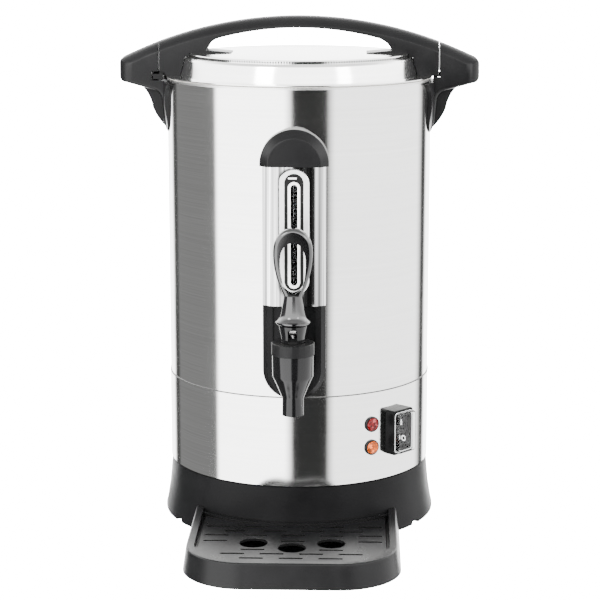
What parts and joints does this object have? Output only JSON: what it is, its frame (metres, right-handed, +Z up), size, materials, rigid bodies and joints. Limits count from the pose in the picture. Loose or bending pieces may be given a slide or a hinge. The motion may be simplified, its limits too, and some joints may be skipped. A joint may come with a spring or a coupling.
{
  "type": "coffee urn",
  "caption": "Upright steel percolator urn with a lidded round body, carry handle, side grips, level gauge, lever tap, rocker switch, indicator lamps and a removable drip tray.",
  "frame": {"origin": "on the urn's centre line, at the surface that it stands on", "axes": "+Z up; -Y from the centre line towards the tap, the drip tray and the viewer; +X towards the switch and lamps, along the handles' line"},
  "size_m": [0.3, 0.3384, 0.421],
  "materials": {
    "brushed_shell": "stainless sheet, fine brushed round the body",
    "lid_steel": "stainless sheet, satin",
    "polished_cover": "polished stainless cover",
    "tank_steel": "stainless sheet, satin",
    "joint_black": "dark moulded bead",
    "base_black": "fine matt moulded plastic",
    "plate_grey": "plain painted sheet",
    "foot_rubber": "soft rubber",
    "screw_steel": "plain steel",
    "handle_black": "satin heat-resistant plastic",
    "backing_steel": "plain steel strip",
    "silicone": "translucent silicone",
    "gauge_black": "satin moulded plastic",
    "panel_black": "gloss plastic",
    "frame_bright": "bright trim",
    "gauge_glass": "clear tube",
    "tap_black": "satin gloss plastic",
    "collar_black": "faceted matt plastic",
    "valve_steel": "turned stainless",
    "spring_steel": "spring wire",
    "nut_steel": "plain stainless",
    "spacer_nylon": "plain nylon",
    "lens_red": "translucent red",
    "lens_amber": "translucent amber",
    "lamp_black": "moulded plastic",
    "nut_nylon": "plain nylon",
    "switch_black": "moulded plastic",
    "rocker_black": null,
    "cover_clear": "clear soft moulded cover",
    "terminal_brass": "plain brass",
    "inlet_black": "moulded plastic",
    "pin_nickel": "nickel-plated brass",
    "heater_aluminium": "cast, as made",
    "element_steel": "heat-stained sheath",
    "control_steel": "pressed can with brass blades",
    "percolator_steel": "satin aluminium",
    "tray_black": "satin moulded plastic",
    "grille_black": "satin moulded plastic"
  },
  "bodies": {
    "urn": {"upper_shell": "brushed_shell", "lower_shell": "brushed_shell", "joint_ring": "joint_black", "tank": "tank_steel", "base_ring": "base_black", "base_plate": "plate_grey", "rubber_feet": "foot_rubber", "base_screws": "screw_steel", "side_handle_left": "handle_black", "side_handle_right": "handle_black", "handle_backing_plates": "backing_steel", "handle_screws": "screw_steel", "gauge_cap": "gauge_black", "gauge_cover": "polished_cover", "gauge_panel": "panel_black", "gauge_frame": "frame_bright", "gauge_tube": "gauge_glass", "gauge_seals": "silicone", "tap_housing": "gauge_black", "gauge_screws": "screw_steel", "tap_body": "tap_black", "tap_collar": "collar_black", "tap_bonnet": "tap_black", "tap_washers": "silicone", "tap_spacer": "spacer_nylon", "tap_nut": "nut_steel", "lamp_lens_red": "lens_red", "lamp_lens_amber": "lens_amber", "lamp_holders": "lamp_black", "lamp_nuts": "nut_nylon", "switch_surround": "switch_black", "switch_terminals": "terminal_brass", "switch_cover": "cover_clear", "power_inlet": "inlet_black", "inlet_pins": "pin_nickel", "inlet_screws": "screw_steel", "inlet_nuts": "screw_steel", "heater_plate": "heater_aluminium", "boil_element": "element_steel", "keep_warm_element": "element_steel", "thermostat": "control_steel", "thermal_cutout": "control_steel", "percolator_stem": "percolator_steel", "stem_valve": "percolator_steel", "coffee_basket": "percolator_steel", "basket_spreader": "percolator_steel"},
    "gasket": {"lid_gasket": "silicone"},
    "lid": {"lid_cover": "lid_steel", "lid_handle": "handle_black", "lid_handle_screws": "screw_steel"},
    "valve": {"tap_stem": "valve_steel", "seat_cup": "silicone", "lever_pin": "valve_steel", "tap_spring": "spring_steel"},
    "lever": {"tap_lever": "tap_black"},
    "rocker": {"switch_rocker": "rocker_black"},
    "tray": {"drip_tray": "tray_black"},
    "grille": {"drip_grille": "grille_black"}
  },
  "joints": [
    {"name": "lid_lift", "type": "slide", "parent": "urn", "child": "gasket", "axis": [0, 0, 1], "range_m": [0, 0.12]},
    {"name": "lid_turn", "type": "hinge", "parent": "gasket", "child": "lid", "pos_m": [0, 0, 0.3723], "axis": [0, 0, 1], "range_deg": [-10, 30]},
    {"name": "tap_valve", "type": "slide", "parent": "urn", "child": "valve", "axis": [0, 0, 1], "range_m": [0, 0.00764], "stiffness_N_per_m": 120, "springref_m": -0.004, "deforming": ["tap_spring"]},
    {"name": "tap_lever", "type": "hinge", "parent": "valve", "child": "lever", "pos_m": [0, -0.148, 0.186], "axis": [1, 0, 0], "range_deg": [0, 35]},
    {"name": "switch_rock", "type": "hinge", "parent": "urn", "child": "rocker", "pos_m": [0.08435, -0.07595, 0.0862], "axis": [0.6691, 0.7431, 0], "range_deg": [0, 20]},
    {"name": "tray_slide", "type": "slide", "parent": "urn", "child": "tray", "axis": [0, -1, 0], "range_m": [0, 0.1]},
    {"name": "grille_lift", "type": "slide", "parent": "tray", "child": "grille", "axis": [0, 0, 1], "range_m": [0, 0.04]}
  ],
  "couplings": [
    {"joint": "tap_lever", "follows": "tap_valve", "rad_per_m": 80}
  ]
}
